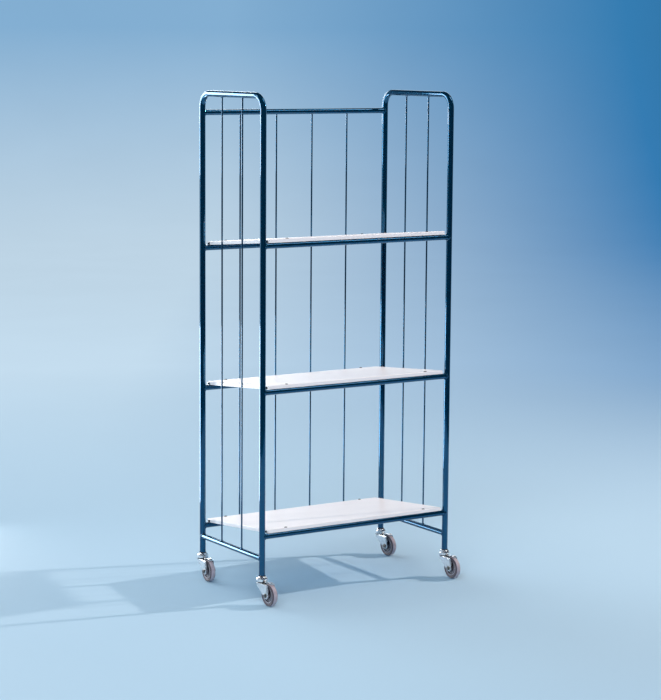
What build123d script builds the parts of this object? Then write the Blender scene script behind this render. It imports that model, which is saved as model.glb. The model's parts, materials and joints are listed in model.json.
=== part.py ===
"""Linen trolley: a welded tube frame with three sloping sheet-metal shelves on four swivel castors.

Frame: +X to the right along the shelves, -Y is the open front, +Z up. The origin is at floor level,
in the middle of everything the trolley covers. All lengths are in millimetres.
"""

from build123d import *
import math
import os

# ---- overall size ----
HEIGHT = 1800  # floor to the top of the end hoops
LEG_SPAN_X = 796  # between leg axes, left to right
LEG_SPAN_Y = 426  # between leg axes, front to back
LEG_END_Z = 100  # where the leg tube stops, on top of the castor head

# ---- tubes and rods ----
LEG_R = 11  # outer radius of the hoop tube
RAIL_R = 10  # outer radius of every straight rail
TUBE_WALL = 1.5
ROD_R = 3
HOOP_BEND_R = 50  # centreline radius of the two bends of a hoop
CROSS_RAIL_Z = 161
TOP_RAIL_Z = 1720
END_RODS = 2  # per end, evenly spaced between the legs
BACK_RODS = 4
BACK_ROD_PITCH = 155
BACK_ROD_TOP_Z = TOP_RAIL_Z + 5

# ---- shelves ----
SHELVES = ["bottom", "middle", "upper"]
SHELF_FIRST_Z = 240.5  # axis of the lowest front rail
SHELF_PITCH = 515
SHELF_DROP = 40  # how much lower the rear rail sits than the front rail
TRAY_LENGTH = 750
TRAY_DEPTH = 442  # measured along the slope
TRAY_HEIGHT = 13
TRAY_SHEET = 1.5
TRAY_BEND_R = 2.5
TRAY_LIP = 18  # return lip that lies on the front and rear rails
CORNER_SLOT_Y = 204  # middle of the relief slot in each end flange
CORNER_SLOT_WIDTH = 9
CORNER_SLOT_HEIGHT = 9
SCREW_X = 299
SCREW_R = 2
SCREW_HEAD_R = 4
SCREW_HEAD_HEIGHT = 2.4
SCREW_LENGTH = 9
ACCESS_HOLE_R = 4.75
PLUG_RIM_R = 5.5  # rim under the sheet that holds the plug of an access hole
PLUG_RIM_HEIGHT = 1
PLUG_GAP = 0.05  # between a plug and the side of its hole

# ---- castors ----
WHEEL_R = 40
TRAIL = 48  # swivel axis to wheel axle
REST_SWIVEL = {"front_left": 3, "front_right": 2, "back_left": -3, "back_right": 5}  # degrees
TYRE_INNER_R = 28
TYRE_HALF_WIDTH = 9.5
HUB_R = 12
HUB_HALF_WIDTH = 14
BUSH_R = 6
RUNNING_GAP = 0.05
AXLE_R = 4
CHEEK_GAP = 30
CHEEK_SHEET = 2.5
CHEEK_BOSS_R = 13
CHEEK_FRONT_Y = -56  # the front edge runs almost straight down from here
CHEEK_RIB = 1  # how far the pressed rib above the axle stands proud
CHEEK_RIB_BOSS_R = 10.5
CHEEK_ROLL = 4.3  # how far the cheek edges are turned in towards the tyre
CHEEK_ROLL_STOP_R = 14.5  # the turned edges end this far from the axle, clear of the hub
HEAD_R = 20
HEAD_BASE_Z = 81
RACE_CEILING_Z = 83
CROWN_TOP_Z = 78
CROWN_SHEET = 2.5
BALLS = 12
BALL_RING_R = 12.5
STEM_R = 6
STEM_TOP_Z = 135
RIVET_R = 9
RIVET_HEIGHT = 3
SOCKET_TOP_Z = 137
GUARD_INNER_R = 45
GUARD_SHEET = 2
GUARD_HALF_WIDTH = 6.5
GUARD_START = -49  # degrees about the axle from straight up, towards the swivel axis
GUARD_END = 17  # degrees past the top, where the rounded tip begins
GUARD_HOLE_R = 2.8
HEX_ACROSS_FLATS = 13
BOLT_HEAD_HEIGHT = 5
NUT_HEIGHT = 6.5

# ---- worked out from the above ----
HALF_X = LEG_SPAN_X / 2
HALF_Y = LEG_SPAN_Y / 2
HOOP_TOP_Z = HEIGHT - LEG_R
SLOPE = math.degrees(math.atan(SHELF_DROP / LEG_SPAN_Y))
RAIL_Y_ON_TRAY = HALF_Y / math.cos(math.radians(SLOPE))
CHEEK_OUTER_X = CHEEK_GAP / 2 + CHEEK_SHEET + CHEEK_RIB
BALL_R = (RACE_CEILING_Z - CROWN_TOP_Z) / 2 - 0.02
CORNERS = {
    "front_left": (-HALF_X, -HALF_Y),
    "front_right": (HALF_X, -HALF_Y),
    "back_left": (-HALF_X, HALF_Y),
    "back_right": (HALF_X, HALF_Y),
}
SIDES = {"left": -HALF_X, "right": HALF_X}


def rail_z(level, side_y):
    """Height of a shelf rail's axis: level 0 to 2, side_y negative at the front."""
    drop = SHELF_DROP if side_y > 0 else 0
    return SHELF_FIRST_Z + level * SHELF_PITCH - drop


def bar_x(radius, length, y, z):
    """A solid round bar along X, centred on x = 0."""
    return Pos(0, y, z) * Rot(0, 90, 0) * Cylinder(radius, length)


def bar_y(radius, length, x, z):
    """A solid round bar along Y, centred on y = 0."""
    return Pos(x, 0, z) * Rot(90, 0, 0) * Cylinder(radius, length)


def bar_z(radius, bottom, top, x=0, y=0):
    """A solid round bar along Z."""
    return Pos(x, y, (bottom + top) / 2) * Cylinder(radius, top - bottom)


def on_tray(level):
    """Places something drawn flat, with its underside at z = 0, onto the two rails of a shelf."""
    middle = (rail_z(level, -1) + rail_z(level, 1)) / 2
    return Pos(0, 0, middle) * Rot(-SLOPE, 0, 0) * Pos(0, 0, RAIL_R)


def screw_places():
    return [(x, y) for x in (-SCREW_X, SCREW_X) for y in (-RAIL_Y_ON_TRAY, RAIL_Y_ON_TRAY)]


# ---- frame ----
def hoop_bar(x, radius):
    """A solid round bar bent into an upside-down U: two legs and the top of an end frame."""
    path = FilletPolyline(
        (x, -HALF_Y, LEG_END_Z),
        (x, -HALF_Y, HOOP_TOP_Z),
        (x, HALF_Y, HOOP_TOP_Z),
        (x, HALF_Y, LEG_END_Z),
        radius=HOOP_BEND_R,
    )
    return sweep(Pos(x, -HALF_Y, LEG_END_Z) * Circle(radius), path=path)


def end_hoop(x):
    """The bent tube of one end frame."""
    return hoop_bar(x, LEG_R) - hoop_bar(x, LEG_R - TUBE_WALL)


def cross_rail(x):
    """The short tube between the two legs of an end, low down."""
    tube = bar_y(RAIL_R, LEG_SPAN_Y, x, CROSS_RAIL_Z) - bar_y(RAIL_R - TUBE_WALL, LEG_SPAN_Y, x, CROSS_RAIL_Z)
    return tube - hoop_bar(x, LEG_R)


def long_rail(y, z):
    """A tube along the trolley between the left and right hoops, its ends coped to them."""
    tube = bar_x(RAIL_R, LEG_SPAN_X, y, z) - bar_x(RAIL_R - TUBE_WALL, LEG_SPAN_X, y, z)
    return tube - hoop_bar(-HALF_X, LEG_R) - hoop_bar(HALF_X, LEG_R)


def shelf_rail(level, y):
    """A long rail drilled for the two shelf screws that enter it."""
    rail = long_rail(y, rail_z(level, y))
    for sx, sy in screw_places():
        if sy * y > 0:
            rail -= on_tray(level) * bar_z(SCREW_R, -RAIL_R, 0, sx, sy)
    return rail


def end_rod(x, number):
    """A thin upright from the cross rail to the top bar of the hoop."""
    pitch = LEG_SPAN_Y / (END_RODS + 1)
    y = -HALF_Y + number * pitch
    rod = bar_z(ROD_R, CROSS_RAIL_Z, HOOP_TOP_Z, x, y)
    rod -= bar_y(RAIL_R, LEG_SPAN_Y, x, CROSS_RAIL_Z)
    return rod - bar_y(LEG_R, LEG_SPAN_Y, x, HOOP_TOP_Z)


def back_rod(number):
    """A thin upright welded to the back of the top rail and of the three rear shelf rails."""
    x = (number - (BACK_RODS + 1) / 2) * BACK_ROD_PITCH
    y = HALF_Y + RAIL_R + ROD_R
    return bar_z(ROD_R, rail_z(0, 1) - RAIL_R / 2, BACK_ROD_TOP_Z, x, y)


# ---- shelves ----
def tray(level):
    """A folded sheet shelf: top, four down-turned flanges, and a return lip over each rail."""
    blank = Pos(0, 0, TRAY_HEIGHT / 2) * Box(TRAY_LENGTH, TRAY_DEPTH, TRAY_HEIGHT)
    rounded = blank.edges().filter_by(Axis.Z) + blank.faces().sort_by(Axis.Z)[-1].edges()
    pan = fillet(rounded, TRAY_BEND_R)
    hollow_height = TRAY_HEIGHT - TRAY_SHEET
    inner_length = TRAY_LENGTH - 2 * TRAY_SHEET
    inner_depth = TRAY_DEPTH - 2 * TRAY_SHEET
    pan -= Pos(0, 0, hollow_height / 2) * Box(inner_length, inner_depth, hollow_height)
    for side in (-1, 1):
        lip_y = side * (TRAY_DEPTH / 2 - TRAY_SHEET - TRAY_LIP / 2)
        pan += Pos(0, lip_y, TRAY_SHEET / 2) * Box(inner_length, TRAY_LIP, TRAY_SHEET)
        for end in (-1, 1):
            slot = Box(4 * TRAY_SHEET, CORNER_SLOT_WIDTH, CORNER_SLOT_HEIGHT)
            pan -= Pos(end * TRAY_LENGTH / 2, side * CORNER_SLOT_Y, CORNER_SLOT_HEIGHT / 2) * slot
    for x, y in screw_places():
        pan -= bar_z(SCREW_R, 0, TRAY_SHEET, x, y)
        pan -= bar_z(ACCESS_HOLE_R, hollow_height, TRAY_HEIGHT, x, y)
    return on_tray(level) * pan


def shelf_screw():
    """A pan-head screw, its head resting at z = TRAY_SHEET."""
    head = bar_z(SCREW_HEAD_R, TRAY_SHEET, TRAY_SHEET + SCREW_HEAD_HEIGHT)
    head = fillet(head.edges().sort_by(Axis.Z)[-1], SCREW_HEAD_HEIGHT / 2)
    drive = Pos(0, 0, TRAY_SHEET + SCREW_HEAD_HEIGHT) * (Box(5, 0.9, 2.4) + Box(0.9, 5, 2.4))
    return head + bar_z(SCREW_R, TRAY_SHEET - SCREW_LENGTH, TRAY_SHEET) - drive


def shelf_plug():
    """The plug of an access hole, flush with the deck, its rim under the sheet."""
    sheet_bottom = TRAY_HEIGHT - TRAY_SHEET
    button = bar_z(ACCESS_HOLE_R - PLUG_GAP, sheet_bottom, TRAY_HEIGHT)
    return button + bar_z(PLUG_RIM_R, sheet_bottom - PLUG_RIM_HEIGHT, sheet_bottom)


def on_every_shelf(piece):
    """Copies of a small piece at each screw place of each shelf, as one group of separate solids."""
    levels = range(len(SHELVES))
    return Compound(children=[on_tray(level) * Pos(x, y, 0) * piece for level in levels for x, y in screw_places()])


# ---- castors: drawn with the swivel axis on Z and the wheel trailing towards -Y ----
def spun_about_axle(outline):
    """Turns a half section, axial along X and radial along Y, into a ring on the wheel axle."""
    ring = revolve(make_face(outline), Axis.X)
    return Pos(0, -TRAIL, WHEEL_R) * ring


def mirrored_outline(points):
    """Closes a list of (axial, radial) points, from the inside out, with its mirror image."""
    other_side = [(-axial, radial) for axial, radial in reversed(points)]
    return Polyline(*points, *other_side, close=True)


def tyre():
    """A soft tyre with a crowned tread and one raised ring on each side wall."""
    shoulder = (-TYRE_HALF_WIDTH, WHEEL_R - 4.5)
    tread_edge = (-TYRE_HALF_WIDTH + 5.5, WHEEL_R)
    side = [
        (-TYRE_HALF_WIDTH + 1.2, TYRE_INNER_R),
        (-TYRE_HALF_WIDTH + 1.2, TYRE_INNER_R + 2),
        (-TYRE_HALF_WIDTH + 0.4, TYRE_INNER_R + 2.5),
        (-TYRE_HALF_WIDTH + 0.4, TYRE_INNER_R + 3.5),
        (-TYRE_HALF_WIDTH + 1, TYRE_INNER_R + 4),
        shoulder,
    ]
    far_side = [(-axial, radial) for axial, radial in reversed(side)]
    bend = (-TYRE_HALF_WIDTH + 1.6, WHEEL_R - 1.4)
    outline = [
        Polyline(*side),
        ThreePointArc(shoulder, bend, tread_edge),
        Line(tread_edge, (-tread_edge[0], tread_edge[1])),
        ThreePointArc((-tread_edge[0], tread_edge[1]), (-bend[0], bend[1]), (-shoulder[0], shoulder[1])),
        Polyline(*far_side),
        Line(far_side[-1], side[0]),
    ]
    return spun_about_axle(outline)


def wheel_core():
    """The moulded wheel centre: rim, dished web with a raised ring, and hub."""
    rim_x = TYRE_HALF_WIDTH - 1.2
    section = [
        (-HUB_HALF_WIDTH, BUSH_R + RUNNING_GAP),
        (-HUB_HALF_WIDTH, HUB_R - 1),
        (-HUB_HALF_WIDTH + 1, HUB_R),
        (-5, HUB_R + 0.6),
        (-4, HUB_R + 2),
        (-4, 18),
        (-6, 18.4),
        (-6, 20),
        (-4, 20.4),
        (-4, TYRE_INNER_R - 4.5),
        (-rim_x + 0.6, TYRE_INNER_R - 3),
        (-rim_x, TYRE_INNER_R - 2.4),
        (-rim_x, TYRE_INNER_R),
    ]
    return spun_about_axle(mirrored_outline(section))


def bush():
    """The steel sleeve clamped between the cheeks, on which the wheel turns."""
    sleeve = Rot(0, 90, 0) * (Cylinder(BUSH_R, CHEEK_GAP) - Cylinder(AXLE_R, CHEEK_GAP))
    return Pos(0, -TRAIL, WHEEL_R) * sleeve


def hex_prism(height, x):
    """A hexagon along X, starting at x."""
    corner_r = HEX_ACROSS_FLATS / math.sqrt(3)
    return Pos(x, 0, 0) * extrude(Plane.YZ * RegularPolygon(corner_r, 6), height)


def axle():
    """The axle bolt, its head on the left cheek, and the nut on the right one."""
    nut_end = CHEEK_OUTER_X + NUT_HEIGHT
    shank_length = CHEEK_OUTER_X + nut_end + 1.5
    shank = Pos(-CHEEK_OUTER_X + shank_length / 2, 0, 0) * Rot(0, 90, 0) * Cylinder(AXLE_R, shank_length)
    head = hex_prism(BOLT_HEAD_HEIGHT, -CHEEK_OUTER_X - BOLT_HEAD_HEIGHT)
    round_cap = Pos(-CHEEK_OUTER_X, 0, 0) * Rot(0, -90, 0) * Cone(
        HEX_ACROSS_FLATS / 2 + 2.2, HEX_ACROSS_FLATS / 2 - 0.8, BOLT_HEAD_HEIGHT,
        align=(Align.CENTER, Align.CENTER, Align.MIN),
    )
    nut = hex_prism(NUT_HEIGHT, CHEEK_OUTER_X) - shank
    place = Pos(0, -TRAIL, WHEEL_R)
    return Compound(children=[place * ((head & round_cap) + shank), place * nut])


def guard_arc(radius):
    """A solid round slab about the axle, as wide as the guard."""
    return Rot(0, 90, 0) * Cylinder(radius, 2 * GUARD_HALF_WIDTH)


def tyre_guard():
    """The tongue of the crown that follows the tyre over its top, with a hole near its round tip."""
    band = guard_arc(GUARD_INNER_R + GUARD_SHEET) - guard_arc(GUARD_INNER_R)
    big = 2 * GUARD_INNER_R
    keep_front = Rot(GUARD_END, 0, 0) * Pos(0, big / 2, 0) * Box(big, big, 2 * big)
    keep_back = Rot(GUARD_START, 0, 0) * Pos(0, -big / 2, 0) * Box(big, big, 2 * big)
    tip = Rot(GUARD_END, 0, 0) * bar_z(GUARD_HALF_WIDTH, 0, big)
    tongue = band & keep_back & (keep_front + tip)
    return Pos(0, -TRAIL, WHEEL_R) * (tongue - Rot(GUARD_END, 0, 0) * bar_z(GUARD_HOLE_R, 0, big))


def about_axle(radius, corners):
    """The hull, in the YZ plane, of a circle about the axle and some (y, z) corners."""
    boss = Pos(-TRAIL, WHEEL_R) * Circle(radius)
    return Plane.YZ * make_hull(boss.edges() + Polyline(*corners, close=True).edges())


def fork_cheek(side):
    """One pressed side plate: wide under the crown, narrowing to the axle, edges turned in, rib over the axle."""
    front, top = CHEEK_FRONT_Y, CROWN_TOP_Z
    outline = about_axle(CHEEK_BOSS_R, [(10, top), (front, top), (front, top - 6), (10, top - 9)])
    plate = extrude(outline, CHEEK_SHEET)
    turned = extrude(outline, -CHEEK_ROLL)
    turned -= extrude(offset(outline, -CHEEK_SHEET), -CHEEK_ROLL)
    turned -= Pos(0, -TRAIL, WHEEL_R) * Rot(0, 90, 0) * Cylinder(CHEEK_ROLL_STOP_R, 4 * CHEEK_ROLL)
    cheek = plate + turned
    cheek = fillet(cheek.faces().sort_by(Axis.X)[-1].outer_wire().edges(), CHEEK_SHEET / 2)
    rib_corners = [(front + 18, top - 3), (front + 3, top - 3), (front + 3, top - 6), (front + 18, top - 6)]
    rib = extrude(about_axle(CHEEK_RIB_BOSS_R, rib_corners), CHEEK_SHEET + CHEEK_RIB)
    rib = fillet(rib.faces().sort_by(Axis.X)[-1].outer_wire().edges(), 0.6 * CHEEK_RIB)
    cheek = Pos(CHEEK_GAP / 2, 0, 0) * (cheek + rib)
    return cheek if side > 0 else mirror(cheek, Plane.YZ)


def fork():
    """The pressed fork: round crown, two cheeks and the tyre guard, with holes for stem and axle."""
    crown = bar_z(HEAD_R, CROWN_TOP_Z - CROWN_SHEET, CROWN_TOP_Z)
    body = crown + fork_cheek(-1) + fork_cheek(1) + tyre_guard()
    body -= bar_z(STEM_R + RUNNING_GAP, 0, CROWN_TOP_Z)
    return body - Pos(0, -TRAIL, WHEEL_R) * Rot(0, 90, 0) * Cylinder(AXLE_R, 3 * CHEEK_GAP)


def race_balls():
    """The ring of balls between the crown and the castor head."""
    middle_z = (RACE_CEILING_Z + CROWN_TOP_Z) / 2
    ring = PolarLocations(BALL_RING_R, BALLS)
    return Compound(children=[Pos(0, 0, middle_z) * place * Sphere(BALL_R) for place in ring])


def castor_head():
    """The domed head that caps the ball race and carries the leg."""
    shoulder = (HEAD_R, LEG_END_Z - 14)
    collar = (LEG_R + 1.5, LEG_END_Z)
    outline = [
        Polyline(
            collar,
            (STEM_R, LEG_END_Z),
            (STEM_R, RACE_CEILING_Z),
            (HEAD_R - 2.5, RACE_CEILING_Z),
            (HEAD_R - 2.5, HEAD_BASE_Z),
            (HEAD_R, HEAD_BASE_Z),
            shoulder,
        ),
        ThreePointArc(shoulder, (HEAD_R - 1.2, LEG_END_Z - 5.5), collar),
    ]
    return revolve(Plane.XZ * make_face(outline), Axis.Z)


def stem():
    """The pin the fork turns on: held in the leg socket above, riveted under the crown below."""
    rivet_top = CROWN_TOP_Z - CROWN_SHEET - 0.1
    pin = bar_z(STEM_R, rivet_top - RIVET_HEIGHT, STEM_TOP_Z)
    return pin + bar_z(RIVET_R, rivet_top - RIVET_HEIGHT, rivet_top)


def socket():
    """The plug in the end of the leg tube that grips the stem."""
    plug = bar_z(LEG_R - TUBE_WALL, LEG_END_Z, SOCKET_TOP_Z)
    return plug - bar_z(STEM_R, LEG_END_Z, SOCKET_TOP_Z)


CASTOR_PIECES = {
    "socket": socket,
    "stem": stem,
    "head": castor_head,
    "balls": race_balls,
    "fork": fork,
    "axle": axle,
    "bush": bush,
    "wheel": wheel_core,
    "tyre": tyre,
}


def build_nodes():
    """Every node of the trolley by name, measured from the middle of the four legs."""
    nodes = {}
    for side, x in SIDES.items():
        nodes[f"end_hoop_{side}"] = end_hoop(x)
        nodes[f"cross_rail_{side}"] = cross_rail(x)
        for number in range(1, END_RODS + 1):
            nodes[f"end_rod_{side}_{number}"] = end_rod(x, number)
    nodes["top_rail"] = long_rail(HALF_Y, TOP_RAIL_Z)
    for number in range(1, BACK_RODS + 1):
        nodes[f"back_rod_{number}"] = back_rod(number)
    for level, shelf in enumerate(SHELVES):
        nodes[f"{shelf}_front_rail"] = shelf_rail(level, -HALF_Y)
        nodes[f"{shelf}_rear_rail"] = shelf_rail(level, HALF_Y)
        nodes[f"{shelf}_shelf"] = tray(level)
    nodes["shelf_screws"] = on_every_shelf(shelf_screw())
    nodes["shelf_plugs"] = on_every_shelf(shelf_plug())
    for piece, make in CASTOR_PIECES.items():
        drawn = make()
        for corner, (x, y) in CORNERS.items():
            nodes[f"castor_{piece}_{corner}"] = Pos(x, y, 0) * Rot(0, 0, REST_SWIVEL[corner]) * drawn
    return nodes


NODES = build_nodes()
COVERED = Compound(children=[Compound(node.solids()) for node in NODES.values()]).bounding_box()
ORIGIN_SHIFT = (-COVERED.center().X, -COVERED.center().Y)  # leg centre to the middle of the whole

if __name__ == "__main__":
    os.makedirs("parts", exist_ok=True)
    for name, shape in NODES.items():
        export_step(Pos(*ORIGIN_SHIFT, 0) * shape, f"parts/{name}.step")
    print("nodes", len(NODES), "origin shift", [round(value, 3) for value in ORIGIN_SHIFT])
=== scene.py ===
"""Looks of the linen trolley: materials, weld beads, small trim, light, floor and camera.

Lengths are in metres.
"""

import json
import math
import bpy
import bmesh
from mathutils import Matrix, Vector


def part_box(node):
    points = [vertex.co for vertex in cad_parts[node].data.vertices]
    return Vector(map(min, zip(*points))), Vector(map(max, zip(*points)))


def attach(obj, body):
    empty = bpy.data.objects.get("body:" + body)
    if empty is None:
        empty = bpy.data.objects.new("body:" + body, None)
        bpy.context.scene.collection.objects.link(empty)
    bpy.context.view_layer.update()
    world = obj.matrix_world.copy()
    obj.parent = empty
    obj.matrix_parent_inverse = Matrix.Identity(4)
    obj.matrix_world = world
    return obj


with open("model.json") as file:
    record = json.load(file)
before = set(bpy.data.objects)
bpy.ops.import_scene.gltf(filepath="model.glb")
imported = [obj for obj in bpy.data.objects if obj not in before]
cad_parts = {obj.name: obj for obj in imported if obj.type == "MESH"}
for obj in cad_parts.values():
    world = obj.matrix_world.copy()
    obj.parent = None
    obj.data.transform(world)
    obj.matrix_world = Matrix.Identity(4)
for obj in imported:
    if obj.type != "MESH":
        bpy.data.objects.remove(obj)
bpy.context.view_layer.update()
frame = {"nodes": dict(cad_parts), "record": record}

MM = 0.001
CORNERS = ["front_left", "front_right", "back_left", "back_right"]
SHELVES = ["bottom", "middle", "upper"]

# ---- sizes of the pieces made here ----
BEAD_R = 3.5 * MM  # weld bead between two tubes
BEAD_RIPPLE = 2.6 * MM  # along the bead, from one ripple to the next
BEAD_STEPS = 6  # sections to a ripple
BEAD_POINTS = 10  # points to a section
BEAD_FLATNESS = 0.72  # height of a section over its half width
BEAD_THIN = 0.86  # share of its radius that a bead has between two ripples
BEAD_SWELL = 0.16  # what a ripple adds to that share
BEAD_LEAN = 0.9  # radians by which the middle of a ripple runs ahead of its edges
BEAD_WANDER = 0.10  # slow change of the radius round the bead, as a share of it
BEAD_WANDER_FINE = 0.06
ROD_BEAD_R = 2.8 * MM
TACK_LENGTH = 7 * MM
TACK_R = 1.5 * MM
TACK_SWELL = 0.12  # what a ripple adds to a tack's radius, as a share of it
TACK_ASIDE = 0.95  # from the middle of the rod, over the rod's radius
TACK_OFF_RAIL = 0.35  # above the rail, over the rod's radius
COLLAR_HEIGHT = 2.2 * MM
COLLAR_PROUD = 0.9 * MM
COLLAR_OVERLAP = 0.2 * MM
COLLAR_RIM = 0.4 * MM
PLUG_FROM_MIDDLE = 299 * MM  # along the shelf
DECK_ABOVE_RAIL = 13 * MM  # height of the folded shelf over the top of its rails
PLUG_CAP_R = 5.8 * MM
PLUG_CAP_HEIGHT = 2.4 * MM
PLUG_CAP_SINK = 0.3 * MM
PLUG_CAP_BLUNT = 2.0
SHADE_PAD_FROM_MIDDLE = 204 * MM  # down the slope of the shelf, to the slots in its end flanges
SHADE_PAD_ABOVE_RAIL = 5.3 * MM
SHADE_PAD_SIZE = (4.5 * MM, 4.4 * MM, 3.6 * MM)  # half sizes: outwards, along the flange, up
SHADE_PAD_BLUNT = 5.0

# ---- camera ----
CAMERA_FROM_LEGS = (-4.2559, -6.6216, 1.9479)  # measured from floor level in the middle of the four legs
CAMERA_YAW = 32.86  # degrees to the right of +Y
CAMERA_PITCH = -7.91
CAMERA_ROLL = 0.43
CAMERA_LENS = 111.2  # mm
CAMERA_SENSOR = 36  # mm

# ---- stage ----
NEAR_FLOOR_R = 3.2
FLOOR_R = 13.0
BOWL_BEND = 9.0  # radius of the bend from the floor to the wall of the bowl
BOWL_TURN = 80  # degrees from the floor to the steepest part of the wall
BOWL_STEPS = 12
PAPER_COLOR = (0.42, 0.62, 0.77)
NEAR_GROUND = 0.15  # share of the paper's tone that the far ground keeps, where its glow takes over
GLOW_START = 1.3
GLOW_FULL = 5.5
GLOW_LEFT = -1.2  # the glow changes from the left to the right tone between here
GLOW_RIGHT = 3.6  # and here
GLOW_END = 8.4  # and is dim from here on
GLOW_LOW = ((0.50, 0.64, 0.755), (0.03, 0.185, 0.43))  # left and right tone near the floor
GLOW_HIGH = ((0.22, 0.41, 0.62), (0.03, 0.19, 0.42))  # left and right tone high on the wall
GLOW_TOP_Z = 2.2
DIM_SIDE = 0.2  # share of the glow that is left far out to the right
ACROSS = (0.84, -0.54, 0.0)
PALE_SIDE = (0.54, 0.84, 0.0)  # the direction in which the studio is bright; the opposite side is dim
WORLD_DIM = (0.008, 0.02, 0.04)
WORLD_PALE = (0.35, 0.6, 0.8)


# ---- materials ----
class Look:
    """One procedural material: a principled shader and short ways to feed it."""

    def __init__(self, name, metallic=0.0):
        self.material = bpy.data.materials.new(name)
        self.material.use_nodes = True
        self.tree = self.material.node_tree
        self.shader = self.tree.nodes["Principled BSDF"]
        self.shader.inputs["Metallic"].default_value = metallic
        self.place = self.add("ShaderNodeTexCoord").outputs["Object"]
        self.normal = None

    def add(self, kind, inputs=None, **settings):
        made = self.tree.nodes.new(kind)
        for key, value in settings.items():
            setattr(made, key, value)
        for key, value in (inputs or {}).items():
            self.feed(made, key, value)
        return made

    def feed(self, target, key, value):
        if isinstance(value, bpy.types.NodeSocket):
            self.tree.links.new(value, target.inputs[key])
        else:
            target.inputs[key].default_value = value

    def set(self, **inputs):
        """Feeds the shader: set(Roughness=0.3) or set(Coat_Weight=socket)."""
        for key, value in inputs.items():
            self.feed(self.shader, key.replace("_", " "), value)

    def noise(self, size, detail=2.0, stretch=(1, 1, 1)):
        """Blotches about size metres across; a stretch under 1 makes them longer along that axis."""
        mapped = self.add("ShaderNodeMapping", {"Vector": self.place, "Scale": stretch})
        inputs = {"Vector": mapped.outputs[0], "Scale": 1 / size, "Detail": detail}
        return self.add("ShaderNodeTexNoise", inputs).outputs["Fac"]

    def ramp(self, value, low, high, start=0.0, end=1.0):
        """start where value is under low, end where it is over high, and a straight change between."""
        inputs = {"Value": value, "From Min": low, "From Max": high}
        inputs.update({"To Min": start, "To Max": end})
        return self.add("ShaderNodeMapRange", inputs).outputs[0]

    def blend(self, amount, first, second):
        made = self.add("ShaderNodeMix", {0: amount, 6: first, 7: second}, data_type="RGBA")
        return made.outputs[2]

    def math(self, operation, first, second):
        return self.add("ShaderNodeMath", {0: first, 1: second}, operation=operation).outputs[0]

    def dot(self, first, second):
        made = self.add("ShaderNodeVectorMath", {0: first, 1: second}, operation="DOT_PRODUCT")
        return made.outputs["Value"]

    def height(self):
        """Height above the floor at rest."""
        return self.add("ShaderNodeSeparateXYZ", {0: self.place}).outputs["Z"]

    def facing_sideways(self):
        """1 on faces that look along X, 0 on faces that look across it."""
        normal = self.add("ShaderNodeTexCoord").outputs["Normal"]
        sideways = self.add("ShaderNodeSeparateXYZ", {0: normal}).outputs["X"]
        return self.ramp(self.math("POWER", sideways, 2.0), 0.2, 0.5)

    def hollows(self, reach):
        """1 deep in corners and recesses up to reach metres wide, 0 out in the open; the mask for painted
        shade in hollows.
        """
        open_share = self.add("ShaderNodeAmbientOcclusion", {"Distance": reach}, samples=8).outputs["AO"]
        return self.ramp(open_share, 0.9, 0.5)

    def round_edges(self, radius):
        """Softens the corners in the shading, and is where later bumps start from."""
        self.normal = self.add("ShaderNodeBevel", {"Radius": radius}, samples=6).outputs[0]
        self.set(Normal=self.normal)

    def edges(self, radius):
        """1 on sharp corners, 0 on flat stretches."""
        soft = self.add("ShaderNodeBevel", {"Radius": radius}, samples=6).outputs[0]
        hard = self.add("ShaderNodeNewGeometry").outputs["True Normal"]
        return self.ramp(self.dot(soft, hard), 0.99, 0.8)

    def bump(self, height, depth):
        """Raises the surface by up to depth metres where height is 1."""
        inputs = {"Height": height, "Distance": depth, "Strength": 1.0}
        if self.normal is not None:
            inputs["Normal"] = self.normal
        self.normal = self.add("ShaderNodeBump", inputs).outputs[0]
        self.set(Normal=self.normal)


def rgb(red, green, blue):
    return (red, green, blue, 1.0)


def frame_paint():
    """Clear blue lacquer over bright steel: fine orange peel, faint change of tone, scuffs low down."""
    look = Look("frame_paint", metallic=0.8)
    tone = look.ramp(look.noise(0.25), 0.3, 0.7)
    color = look.blend(tone, rgb(0.0002, 0.075, 0.165), rgb(0.0002, 0.085, 0.185))
    scratch = look.ramp(look.noise(0.0016, 1.0, stretch=(1, 1, 0.06)), 0.70, 0.74)
    low_down = look.ramp(look.height(), 0.45, 0.12)
    scuff = look.math("MULTIPLY", scratch, look.math("MULTIPLY", low_down, 0.55))
    color = look.blend(scuff, color, rgb(0.10, 0.21, 0.34))
    dust = look.ramp(look.noise(0.02, 4.0), 0.45, 0.75, 0.0, 0.02)
    color = look.blend(dust, color, rgb(0.35, 0.37, 0.40))
    rough = look.ramp(look.noise(0.03, 3.0), 0.3, 0.7, 0.09, 0.13)
    rough = look.math("ADD", rough, look.math("MULTIPLY", scuff, 0.3))
    look.set(Base_Color=color, Roughness=rough, Specular_IOR_Level=0.2)
    look.set(Coat_Weight=0.6, Coat_IOR=1.5, Coat_Roughness=0.03)
    look.round_edges(0.5 * MM)
    look.bump(look.noise(0.012, 1.0), 0.006 * MM)
    return look.material


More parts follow.
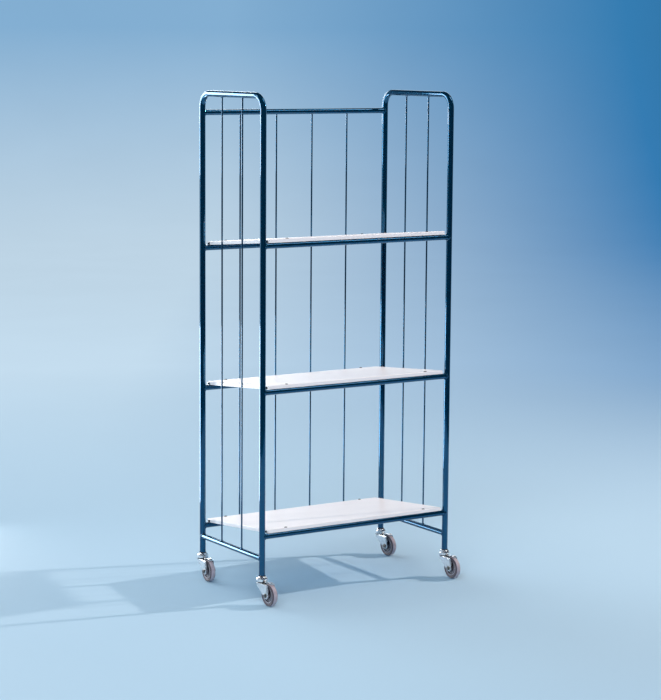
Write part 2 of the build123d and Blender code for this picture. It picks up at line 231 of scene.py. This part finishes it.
def shelf_enamel():
    """Satin white powder coat on sheet: fine grain, faint rubbed streaks, grey where edges are knocked."""
    look = Look("shelf_enamel")
    tone = look.ramp(look.noise(0.12, 3.0), 0.3, 0.7)
    color = look.blend(tone, rgb(0.92, 0.89, 0.90), rgb(0.95, 0.92, 0.925))
    rubbed = look.ramp(look.noise(0.004, 2.0, stretch=(0.05, 1, 1)), 0.60, 0.75, 0.0, 0.16)
    color = look.blend(rubbed, color, rgb(0.62, 0.62, 0.66))
    knocks = look.ramp(look.noise(0.006, 2.0), 0.55, 0.62)
    worn = look.math("MULTIPLY", look.math("MULTIPLY", look.edges(0.8 * MM), knocks), 0.6)
    color = look.blend(worn, color, rgb(0.42, 0.43, 0.46))
    specks = look.ramp(look.noise(0.0012, 0.0), 0.76, 0.80, 0.0, 0.35)
    color = look.blend(specks, color, rgb(0.45, 0.45, 0.48))
    look.set(Base_Color=color, Roughness=look.ramp(rubbed, 0.0, 0.16, 0.42, 0.34))
    look.set(Coat_Weight=0.15, Coat_Roughness=0.2)
    look.round_edges(0.6 * MM)
    look.bump(look.noise(0.0014, 2.0), 0.05 * MM)
    return look.material


def chrome():
    """Bright plating over pressed steel: milky flat sides, faint waves, scratches, dulled spots, and
    painted shade, near black, in the hollows.
    """
    look = Look("chrome")
    look.set(Metallic=look.ramp(look.facing_sideways(), 0.0, 1.0, 0.88, 0.58))
    hairline = look.ramp(look.noise(0.0006, 1.0, stretch=(1, 0.1, 1)), 0.66, 0.72)
    film = look.ramp(look.noise(0.012, 4.0), 0.45, 0.7, 0.0, 1.0)
    color = look.blend(film, rgb(0.90, 0.91, 0.93), rgb(0.74, 0.75, 0.77))
    # painted shade: hollows in the plating are darkened to near black
    color = look.blend(look.hollows(8 * MM), color, rgb(0.03, 0.03, 0.035))
    dulled = look.ramp(film, 0.0, 1.0, 0.05, 0.12)
    rough = look.math("ADD", look.math("MULTIPLY", hairline, 0.12), dulled)
    look.set(Base_Color=color, Roughness=rough)
    look.round_edges(0.8 * MM)
    look.bump(look.noise(0.008, 1.0), 0.06 * MM)
    return look.material


def zinc_steel():
    """Zinc plating: dull crystals and a faint yellow cast in places."""
    look = Look("zinc_steel", metallic=1.0)
    cast = look.ramp(look.noise(0.006, 2.0), 0.4, 0.7)
    color = look.blend(cast, rgb(0.16, 0.16, 0.17), rgb(0.18, 0.16, 0.13))
    grain = look.noise(0.0008, 2.0)
    look.set(Base_Color=color, Roughness=look.ramp(grain, 0.3, 0.7, 0.28, 0.45))
    look.round_edges(0.4 * MM)
    look.bump(grain, 0.02 * MM)
    return look.material


def bearing_steel():
    """Polished ball steel with a film of grease."""
    look = Look("bearing_steel", metallic=1.0)
    film = look.ramp(look.noise(0.003, 3.0), 0.45, 0.6)
    color = look.blend(film, rgb(0.56, 0.57, 0.59), rgb(0.20, 0.17, 0.12))
    look.set(Base_Color=color, Roughness=look.ramp(film, 0.0, 1.0, 0.12, 0.4))
    return look.material


def grey_plastic():
    """Moulded wheel centre: slight flow marks, fine grain, dust in patches, and painted shade, near black,
    in the low places.
    """
    look = Look("grey_plastic")
    flow = look.ramp(look.noise(0.010, 3.0), 0.35, 0.65)
    color = look.blend(flow, rgb(0.40, 0.38, 0.44), rgb(0.50, 0.48, 0.54))
    dust = look.ramp(look.noise(0.005, 4.0), 0.5, 0.75, 0.0, 0.25)
    color = look.blend(dust, color, rgb(0.30, 0.28, 0.28))
    # painted shade: the low places of the wheel centre are darkened to near black
    color = look.blend(look.hollows(16 * MM), color, rgb(0.012, 0.01, 0.018))
    look.set(Base_Color=color, Roughness=look.ramp(flow, 0.0, 1.0, 0.32, 0.42))
    look.round_edges(0.4 * MM)
    look.bump(look.noise(0.0009, 1.0), 0.02 * MM)
    return look.material


def grey_tyre():
    """Soft non-marking rubber: matt bloom, scuffed patches, fine pores, and side walls painted near black
    as painted shade.
    """
    look = Look("grey_tyre")
    bloom = look.ramp(look.noise(0.009, 3.0), 0.35, 0.7)
    tread = look.blend(bloom, rgb(0.40, 0.34, 0.39), rgb(0.50, 0.43, 0.48))
    # painted shade: faces that look along X, the side walls, get a near-black tone
    wall = look.blend(bloom, rgb(0.045, 0.032, 0.046), rgb(0.075, 0.056, 0.074))
    color = look.blend(look.facing_sideways(), tread, wall)
    dirt = look.ramp(look.noise(0.0035, 4.0), 0.56, 0.70, 0.0, 0.5)
    color = look.blend(dirt, color, rgb(0.16, 0.14, 0.15))
    look.set(Base_Color=color, Roughness=look.ramp(bloom, 0.0, 1.0, 0.48, 0.62), Sheen_Weight=0.15)
    look.round_edges(0.5 * MM)
    look.bump(look.noise(0.0007, 2.0), 0.03 * MM)
    return look.material


def black_plastic():
    """Moulded black plastic with a fine spark texture."""
    look = Look("black_plastic")
    grain = look.noise(0.0006, 2.0)
    color = look.blend(grain, rgb(0.002, 0.002, 0.0025), rgb(0.005, 0.005, 0.006))
    look.set(Base_Color=color, Roughness=look.ramp(grain, 0.3, 0.7, 0.5, 0.65), Specular_IOR_Level=0.15)
    look.bump(grain, 0.02 * MM)
    return look.material


LOOKS = {
    "frame_paint": frame_paint(),
    "shelf_enamel": shelf_enamel(),
    "chrome": chrome(),
    "zinc_steel": zinc_steel(),
    "bearing_steel": bearing_steel(),
    "grey_plastic": grey_plastic(),
    "grey_tyre": grey_tyre(),
    "black_plastic": black_plastic(),
}


def dress_cad_nodes():
    """Gives each CAD node the look of its slot in the record."""
    for part in frame["record"]["subparts"]:
        mesh = frame["nodes"][part["node"]].data
        mesh.materials.clear()
        mesh.materials.append(LOOKS[part["material_slot"]])


# ---- mesh pieces ----
def piece_from(mesh_data, name, body, slot):
    """Makes a piece from a bmesh, dresses it in a slot's look and lets it ride on a body."""
    mesh = bpy.data.meshes.new(name)
    bmesh.ops.recalc_face_normals(mesh_data, faces=mesh_data.faces)
    mesh_data.to_mesh(mesh)
    mesh_data.free()
    for face in mesh.polygons:
        face.use_smooth = True
    mesh.materials.append(LOOKS[slot])
    piece = bpy.data.objects.new(name, mesh)
    bpy.context.scene.collection.objects.link(piece)
    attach(piece, body)
    return piece


def add_loop_tube(target, sections):
    """Skins a closed chain of closed cross-sections, each a list of points."""
    rings = [[target.verts.new(point) for point in section] for section in sections]
    for here, there in zip(rings, rings[1:] + rings[:1]):
        for k in range(len(here)):
            after = (k + 1) % len(here)
            target.faces.new((here[k], here[after], there[after], there[k]))


def add_bead(target, corner, along, main, main_r, branch_r, bead_r):
    """A rippled weld bead where a branch tube meets a main tube.

    corner is where the two axes cross, along points down the branch and main along the main tube.
    """
    side = main.cross(along)
    ripples = max(8, round(2 * math.pi * branch_r / BEAD_RIPPLE))
    steps = ripples * BEAD_STEPS
    sections = []
    for step in range(steps):
        turn = 2 * math.pi * step / steps
        outward = side * math.cos(turn) + main * math.sin(turn)
        reach = math.sqrt(max(main_r ** 2 - (branch_r * math.cos(turn)) ** 2, 0.0))
        centre = corner + along * reach + outward * branch_r
        off_main = (along * reach + side * branch_r * math.cos(turn)).normalized()
        bisector = (outward + off_main).normalized()
        across = (outward - off_main).normalized()
        section = []
        for k in range(BEAD_POINTS):
            angle = 2 * math.pi * k / BEAD_POINTS
            wave = abs(math.sin(ripples * turn / 2 + BEAD_LEAN * math.cos(angle)))
            slow = BEAD_WANDER * math.sin(3 * turn + 7 * corner.z)
            fine = BEAD_WANDER_FINE * math.sin(7 * turn + 5 * corner.x)
            swell = bead_r * (1 + slow + fine) * (BEAD_THIN + BEAD_SWELL * wave)
            sideways = across * (swell * math.cos(angle))
            section.append(centre + sideways + bisector * (BEAD_FLATNESS * swell * math.sin(angle)))
        sections.append(section)
    add_loop_tube(target, sections)


def add_tack(target, centre, long_axis, out_axis, length, radius):
    """A small elongated blob of weld with three ripples."""
    cross = long_axis.cross(out_axis)
    blob = bmesh.ops.create_uvsphere(target, u_segments=12, v_segments=14, radius=1.0)
    for vert in blob["verts"]:
        x, y, z = vert.co
        swell = radius * (1 + TACK_SWELL * abs(math.sin(4.5 * z)))
        vert.co = centre + cross * (x * swell) + out_axis * (y * swell) + long_axis * (z * length / 2)


def tube_axis(node):
    """Centre and radius of a tube's box: half its smallest side."""
    low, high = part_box(node)
    return (low + high) / 2, min(high - low) / 2


def legs():
    """The axis of each leg as (x, y) by corner, and the radius of the tube."""
    places = {}
    for side in ("left", "right"):
        low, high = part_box(f"end_hoop_{side}")
        radius = (high.x - low.x) / 2
        x = (low.x + high.x) / 2
        places[f"front_{side}"] = Vector((x, low.y + radius, 0))
        places[f"back_{side}"] = Vector((x, high.y - radius, 0))
    return places, radius


UP, RIGHT, BACK = Vector((0, 0, 1)), Vector((1, 0, 0)), Vector((0, 1, 0))
LEGS, LEG_R = legs()


def tube_welds():
    """The beads at both ends of every rail."""
    beads = bmesh.new()
    ends = {"front": [f"{shelf}_front_rail" for shelf in SHELVES],
            "back": [f"{shelf}_rear_rail" for shelf in SHELVES] + ["top_rail"]}
    for row, rails in ends.items():
        for rail in rails:
            middle, radius = tube_axis(rail)
            for side, along in (("left", RIGHT), ("right", -RIGHT)):
                leg = LEGS[f"{row}_{side}"]
                add_bead(beads, Vector((leg.x, leg.y, middle.z)), along, UP, LEG_R, radius, BEAD_R)
    for side in ("left", "right"):
        middle, radius = tube_axis(f"cross_rail_{side}")
        for row, along in (("front", BACK), ("back", -BACK)):
            leg = LEGS[f"{row}_{side}"]
            add_bead(beads, Vector((leg.x, leg.y, middle.z)), along, UP, LEG_R, radius, BEAD_R)
    return piece_from(beads, "tube_weld_beads", "frame", "frame_paint")


def end_rod_welds():
    """The small beads at both ends of the thin rods in the end frames."""
    beads = bmesh.new()
    for side in ("left", "right"):
        rail, rail_r = tube_axis(f"cross_rail_{side}")
        _, hoop_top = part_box(f"end_hoop_{side}")
        for number in (1, 2):
            rod, rod_r = tube_axis(f"end_rod_{side}_{number}")
            foot = Vector((rod.x, rod.y, rail.z))
            head = Vector((rod.x, rod.y, hoop_top.z - LEG_R))
            add_bead(beads, foot, UP, BACK, rail_r, rod_r, ROD_BEAD_R)
            add_bead(beads, head, -UP, BACK, LEG_R, rod_r, ROD_BEAD_R)
    return piece_from(beads, "end_rod_weld_beads", "frame", "frame_paint")


def back_rod_welds():
    """A tack on each side of a back rod wherever it crosses a rail."""
    tacks = bmesh.new()
    rails = ["top_rail"] + [f"{shelf}_rear_rail" for shelf in SHELVES]
    rods = sorted(name for name in frame["nodes"] if name.startswith("back_rod_"))
    for rail_name in rails:
        rail, rail_r = tube_axis(rail_name)
        for rod_name in rods:
            rod, rod_r = tube_axis(rod_name)
            for side in (-1, 1):
                x = rod.x + side * rod_r * TACK_ASIDE
                at = Vector((x, rail.y + rail_r + rod_r * TACK_OFF_RAIL, rail.z))
                add_tack(tacks, at, UP, BACK, TACK_LENGTH, TACK_R)
    return piece_from(tacks, "back_rod_weld_tacks", "frame", "frame_paint")


def add_ring(target, centre, axis, profile, steps=72):
    """A closed (radius, distance along axis) outline turned about an axis."""
    first = axis.orthogonal().normalized()
    second = axis.cross(first)
    sections = []
    for step in range(steps):
        turn = 2 * math.pi * step / steps
        outward = first * math.cos(turn) + second * math.sin(turn)
        sections.append([centre + outward * radius + axis * offset for radius, offset in profile])
    add_loop_tube(target, sections)


def leg_collar(corner):
    """The black flange of the stem socket between a leg's end and its castor."""
    _, head_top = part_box(f"castor_head_{corner}")
    leg = LEGS[corner]
    inner, outer = LEG_R - COLLAR_OVERLAP, LEG_R + COLLAR_PROUD
    lower, upper = COLLAR_RIM, COLLAR_HEIGHT - COLLAR_RIM
    profile = [(inner, 0), (outer - COLLAR_RIM, 0), (outer, lower), (outer, upper),
               (outer - COLLAR_RIM, COLLAR_HEIGHT), (inner, COLLAR_HEIGHT)]
    collar = bmesh.new()
    add_ring(collar, Vector((leg.x, leg.y, head_top.z)), UP, profile)
    return piece_from(collar, f"leg_collar_{corner}", "frame", "black_plastic")


def shelf_plane(shelf):
    """Where a shelf lies.

    Gives a point midway between its rails and level with their tops, the direction down the slope,
    the direction up off the deck, and half the distance between the rails.
    """
    front, rail_r = tube_axis(f"{shelf}_front_rail")
    rear, _ = tube_axis(f"{shelf}_rear_rail")
    down_slope = (rear - front).normalized()
    deck_up = RIGHT.cross(down_slope)
    return (front + rear) / 2 + deck_up * rail_r, down_slope, deck_up, (rear - front).length / 2


def add_pad(target, at, axes, low_size, high_size, blunt):
    """A rounded block at a place, with half sizes to both sides along three axes.

    blunt is 2 for an ellipsoid, and more for a squarer block.
    """
    blob = bmesh.ops.create_uvsphere(target, u_segments=24, v_segments=16, radius=1.0)
    for vert in blob["verts"]:
        size = sum(abs(part) ** blunt for part in vert.co) ** (1 / blunt)
        moved = Vector(at)
        for axis, part, low, high in zip(axes, vert.co, low_size, high_size):
            moved += axis * (part / size) * (high if part > 0 else low)
        vert.co = moved


def plug_caps():
    """The low domes of the plugs in the shelves."""
    caps = bmesh.new()
    for shelf in SHELVES:
        middle, down_slope, deck_up, half_span = shelf_plane(shelf)
        low = (PLUG_CAP_R, PLUG_CAP_R, PLUG_CAP_SINK)
        high = (PLUG_CAP_R, PLUG_CAP_R, PLUG_CAP_HEIGHT)
        for x in (-PLUG_FROM_MIDDLE, PLUG_FROM_MIDDLE):
            for y in (-half_span, half_span):
                at = middle + RIGHT * x + down_slope * y + deck_up * DECK_ABOVE_RAIL
                add_pad(caps, at, (RIGHT, down_slope, deck_up), low, high, PLUG_CAP_BLUNT)
    return piece_from(caps, "shelf_plug_caps", "frame", "black_plastic")


def slot_shade_pads():
    """Black pads in the slots of the shelves' end flanges: painted shade, standing in for the shade in the
    slots.
    """
    shade_pads = bmesh.new()
    for shelf in SHELVES:
        middle, down_slope, deck_up, _ = shelf_plane(shelf)
        low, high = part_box(f"{shelf}_shelf")
        for x in (low.x, high.x):
            for y in (-SHADE_PAD_FROM_MIDDLE, SHADE_PAD_FROM_MIDDLE):
                at = Vector((x, 0, 0)) + Vector((0, middle.y, middle.z))
                at += down_slope * y + deck_up * SHADE_PAD_ABOVE_RAIL
                axes = (RIGHT, down_slope, deck_up)
                # painted shade: a black pad where the slot would lie in shade
                add_pad(shade_pads, at, axes, SHADE_PAD_SIZE, SHADE_PAD_SIZE, SHADE_PAD_BLUNT)
    return piece_from(shade_pads, "shelf_slot_shade_pads", "frame", "black_plastic")


# ---- stage, light, camera ----
def turned_sheet(name, outline, look, steps=96):
    """A sheet of paper made by turning a (radius, height) outline about the vertical."""
    sheet = bmesh.new()
    rings = []
    for step in range(steps):
        turn = 2 * math.pi * step / steps
        rings.append([sheet.verts.new((r * math.cos(turn), r * math.sin(turn), z)) for r, z in outline])
    for here, there in zip(rings, rings[1:] + rings[:1]):
        for k in range(len(outline) - 1):
            sheet.faces.new((here[k], there[k], there[k + 1], here[k + 1]))
    mesh = bpy.data.meshes.new(name)
    sheet.to_mesh(mesh)
    sheet.free()
    for face in mesh.polygons:
        face.use_smooth = True
    mesh.materials.append(look.material)
    made = bpy.data.objects.new(name, mesh)
    bpy.context.scene.collection.objects.link(made)
    return made


def studio_paper():
    """A round pale floor that curves up into a bowl, so that every view sees the same plain ground. Away
    from the middle the floor and the wall glow, pale on the left and dim far out to the right: painted
    light of the studio falling on them.
    """
    paper = Look("studio_paper")
    grain = paper.ramp(paper.noise(0.8, 3.0), 0.2, 0.8, 0.985, 1.015)
    distance = paper.add("ShaderNodeVectorMath", {0: paper.place}, operation="LENGTH").outputs["Value"]
    far = paper.ramp(distance, GLOW_START, GLOW_FULL)
    across = paper.dot(paper.place, ACROSS)
    rightward = paper.ramp(across, GLOW_LEFT, GLOW_RIGHT)
    low = paper.blend(rightward, rgb(*GLOW_LOW[0]), rgb(*GLOW_LOW[1]))
    high = paper.blend(rightward, rgb(*GLOW_HIGH[0]), rgb(*GLOW_HIGH[1]))
    glow = paper.blend(paper.ramp(paper.height(), 0.0, GLOW_TOP_Z), low, high)
    dimmed = [tone * NEAR_GROUND for tone in PAPER_COLOR]
    paper.set(Base_Color=paper.blend(far, rgb(*PAPER_COLOR), rgb(*dimmed)))
    paper.set(Roughness=0.9, Specular_IOR_Level=0.1)
    lit_side = paper.ramp(across, GLOW_RIGHT, GLOW_END, 1.0, DIM_SIDE)
    strength = paper.math("MULTIPLY", paper.math("MULTIPLY", far, grain), lit_side)
    # painted light: the far floor and the wall glow in lit and dim backdrop tones
    paper.set(Emission_Color=glow, Emission_Strength=strength)
    turned_sheet("near_floor", [(0.001, 0.0), (NEAR_FLOOR_R / 2, 0.0), (NEAR_FLOOR_R, 0.0)], paper)
    outline = [(NEAR_FLOOR_R, 0.0), (FLOOR_R / 2, 0.0), (FLOOR_R, 0.0)]
    for k in range(1, BOWL_STEPS + 1):
        turn = math.radians(BOWL_TURN) * k / BOWL_STEPS
        outline.append((FLOOR_R + BOWL_BEND * math.sin(turn), BOWL_BEND * (1 - math.cos(turn))))
    bowl = turned_sheet("far_floor", outline, paper)
    bowl.visible_glossy = False


def studio_world():
    """Dim blue all round, and pale low down on the bright side, as a lit backdrop is."""
    world = bpy.data.worlds.new("studio_world")
    world.use_nodes = True
    tree = world.node_tree
    direction = tree.nodes.new("ShaderNodeTexCoord").outputs["Generated"]

    def ramp(value, low, high):
        made = tree.nodes.new("ShaderNodeMapRange")
        made.interpolation_type = "SMOOTHSTEP"
        tree.links.new(value, made.inputs["Value"])
        made.inputs["From Min"].default_value = low
        made.inputs["From Max"].default_value = high
        return made.outputs[0]

    toward = tree.nodes.new("ShaderNodeVectorMath")
    toward.operation = "DOT_PRODUCT"
    tree.links.new(direction, toward.inputs[0])
    toward.inputs[1].default_value = PALE_SIDE
    split = tree.nodes.new("ShaderNodeSeparateXYZ")
    tree.links.new(direction, split.inputs[0])
    both = tree.nodes.new("ShaderNodeMath")
    both.operation = "MULTIPLY"
    tree.links.new(ramp(toward.outputs["Value"], 0.15, 0.75), both.inputs[0])
    tree.links.new(ramp(split.outputs["Z"], 0.50, 0.25), both.inputs[1])
    mix = tree.nodes.new("ShaderNodeMix")
    mix.data_type = "RGBA"
    tree.links.new(both.outputs[0], mix.inputs[0])
    mix.inputs[6].default_value = rgb(*WORLD_DIM)
    mix.inputs[7].default_value = rgb(*WORLD_PALE)
    tree.links.new(mix.outputs[2], tree.nodes["Background"].inputs["Color"])
    bpy.context.scene.world = world


def area_light(name, at, aim, size, power, color=(1, 1, 1), mirrored=True, lights_matt=True):
    """A soft rectangular light at a place, turned towards a point.

    mirrored says whether gloss shows it, and lights_matt whether it lights what isn't glossy.
    """
    light = bpy.data.lights.new(name, "AREA")
    light.shape = "RECTANGLE"
    light.size, light.size_y = size
    light.energy = power
    light.color = color
    lamp = bpy.data.objects.new(name, light)
    lamp.location = at
    lamp.rotation_mode = "QUATERNION"
    lamp.rotation_quaternion = (Vector(aim) - Vector(at)).to_track_quat("-Z", "Y")
    lamp.visible_glossy = mirrored
    lamp.visible_diffuse = lights_matt
    lamp.visible_camera = False
    bpy.context.scene.collection.objects.link(lamp)


def soft_light(name, at, aim, size, power, color):
    """Lights what is matt, and doesn't show in what is glossy."""
    area_light(name, at, aim, size, power, color, mirrored=False)


def board(name, at, aim, size, power):
    """A bright board that the tubes and castors mirror. It lights nothing matt."""
    area_light(name, at, aim, size, power, lights_matt=False)


def studio_lights():
    area_light("key", (5.6, -1.45, 3.8), (0, 0, 0.8), (0.16, 0.16), 300, (1.0, 0.80, 0.70))
    soft_light("overhead", (-0.5, 0.5, 7.0), (0, 0, 0.8), (6.0, 6.0), 150, (0.99, 0.99, 1.0))
    soft_light("front_fill", (-4.5, -4.5, 4.6), (0, 0, 0.7), (5.0, 4.0), 320, (1.0, 0.98, 0.98))
    soft_light("back_fill", (-1.0, 6.0, 5.0), (0.5, 2.0, 0.0), (5.0, 4.0), 230, (1.0, 0.99, 1.0))
    board("high_board", (-0.99, 1.38, 1.88), (-0.4, 0, 1.88), (0.60, 0.92), 17)
    board("low_board", (-0.99, 1.38, 0.40), (-0.4, 0, 0.40), (0.69, 0.76), 22)
    board("edge_board", (-1.48, 1.04, 1.5), (-0.4, 0, 1.5), (0.40, 2.8), 9)
    board("bend_board", (1.1, 3.6, 2.0), (0, 0.2, 1.8), (1.4, 0.9), 30)
    board("right_board", (3.9, 3.9, 3.3), (-0.4, 0, 1.8), (2.4, 1.6), 12)
    board("top_board", (2.4, -1.6, 5.6), (-0.4, 0, 1.8), (0.8, 2.4), 40)


def camera():
    """Stands where the front, the left end and the shelves' tops show."""
    yaw, pitch, roll = (math.radians(a) for a in (CAMERA_YAW, CAMERA_PITCH, CAMERA_ROLL))
    look = Vector((math.sin(yaw) * math.cos(pitch), math.cos(yaw) * math.cos(pitch), math.sin(pitch)))
    level_right = Vector((math.cos(yaw), -math.sin(yaw), 0))
    level_up = level_right.cross(look)
    right = level_right * math.cos(roll) + level_up * math.sin(roll)
    up = level_up * math.cos(roll) - level_right * math.sin(roll)
    data = bpy.data.cameras.new("camera")
    data.lens = CAMERA_LENS
    data.sensor_width = CAMERA_SENSOR
    data.clip_start, data.clip_end = 0.1, 200
    made = bpy.data.objects.new("camera", data)
    turn = Matrix((right, up, -look)).transposed()
    middle = sum(LEGS.values(), Vector()) / len(LEGS)
    made.matrix_world = Matrix.Translation(middle + Vector(CAMERA_FROM_LEGS)) @ turn.to_4x4()
    bpy.context.scene.collection.objects.link(made)
    bpy.context.scene.camera = made


dress_cad_nodes()
tube_welds()
end_rod_welds()
back_rod_welds()
for corner_name in CORNERS:
    leg_collar(corner_name)
plug_caps()
slot_shade_pads()
studio_paper()
studio_world()
studio_lights()
camera()
bpy.context.scene.view_settings.view_transform = "Standard"
